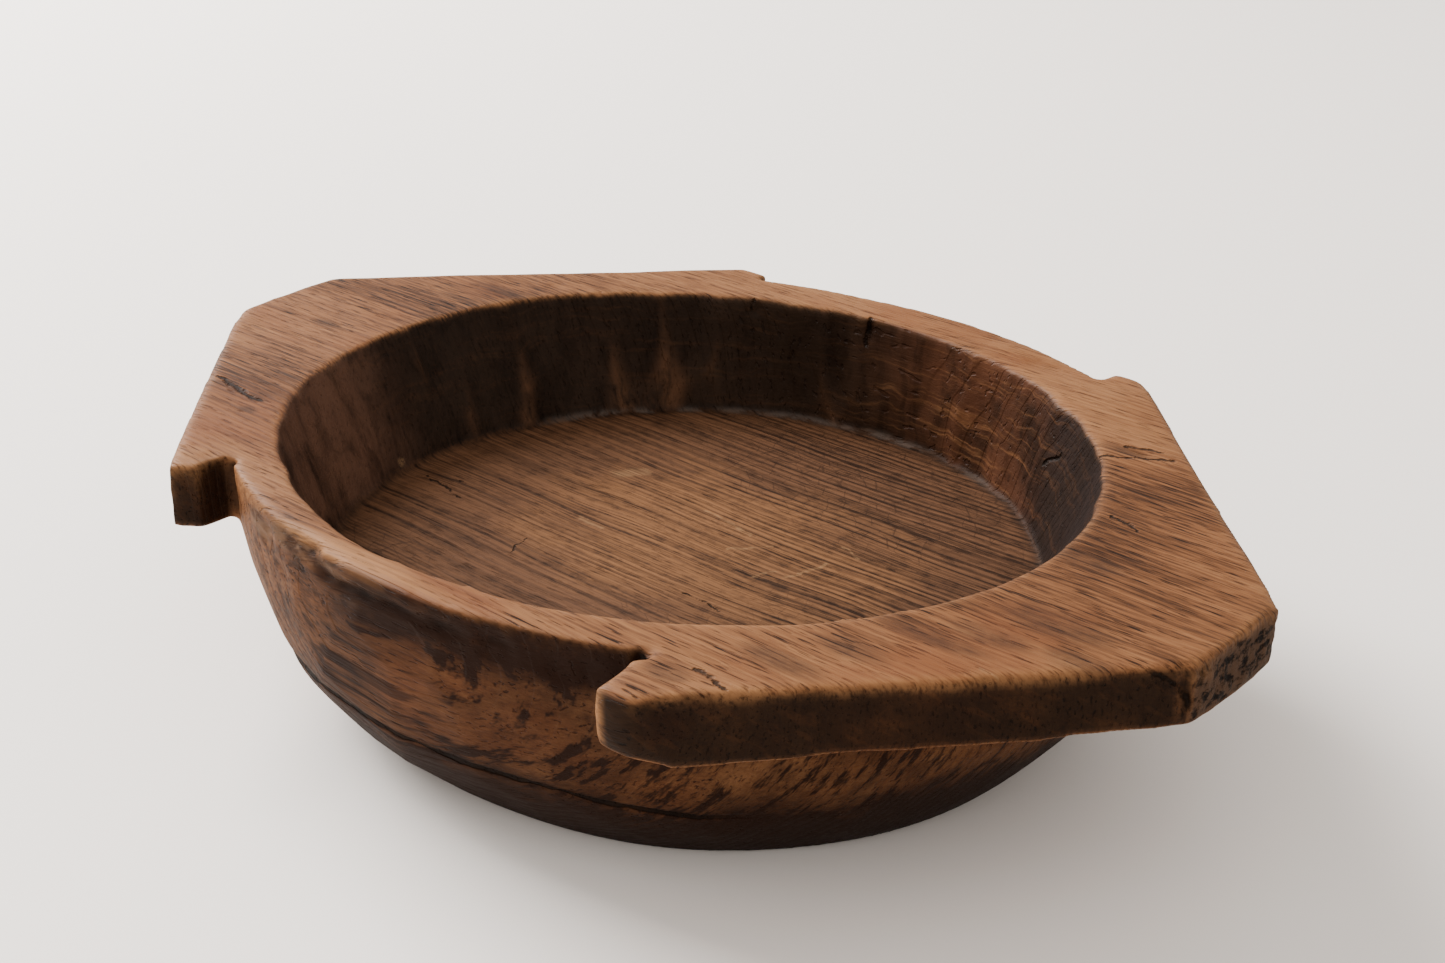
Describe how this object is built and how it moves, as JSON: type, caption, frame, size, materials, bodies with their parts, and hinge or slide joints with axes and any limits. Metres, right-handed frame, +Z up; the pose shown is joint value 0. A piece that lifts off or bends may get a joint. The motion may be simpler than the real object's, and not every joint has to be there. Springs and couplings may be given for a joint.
{
  "type": "carved wooden bowl",
  "caption": "Shallow carved wooden bowl: a slightly oval, flat-floored well in a rounded body, with a wide flat wedge-shaped handle plate at each end.",
  "frame": {"origin": "middle of the flat that the bowl stands on, at table height", "axes": "+Z up; +X along the bowl through both handles, which is also the way the wood's grain runs; +Y across the bowl"},
  "size_m": [0.52, 0.358, 0.11],
  "materials": {
    "dark_wood": "dry, dark with age, satin where worn",
    "worn_wood": "dry, rubbed warmer and paler on top"
  },
  "bodies": {
    "root": {"floor": "dark_wood", "wall": "dark_wood", "right_handle": "worn_wood", "left_handle": "worn_wood"}
  },
  "joints": []
}
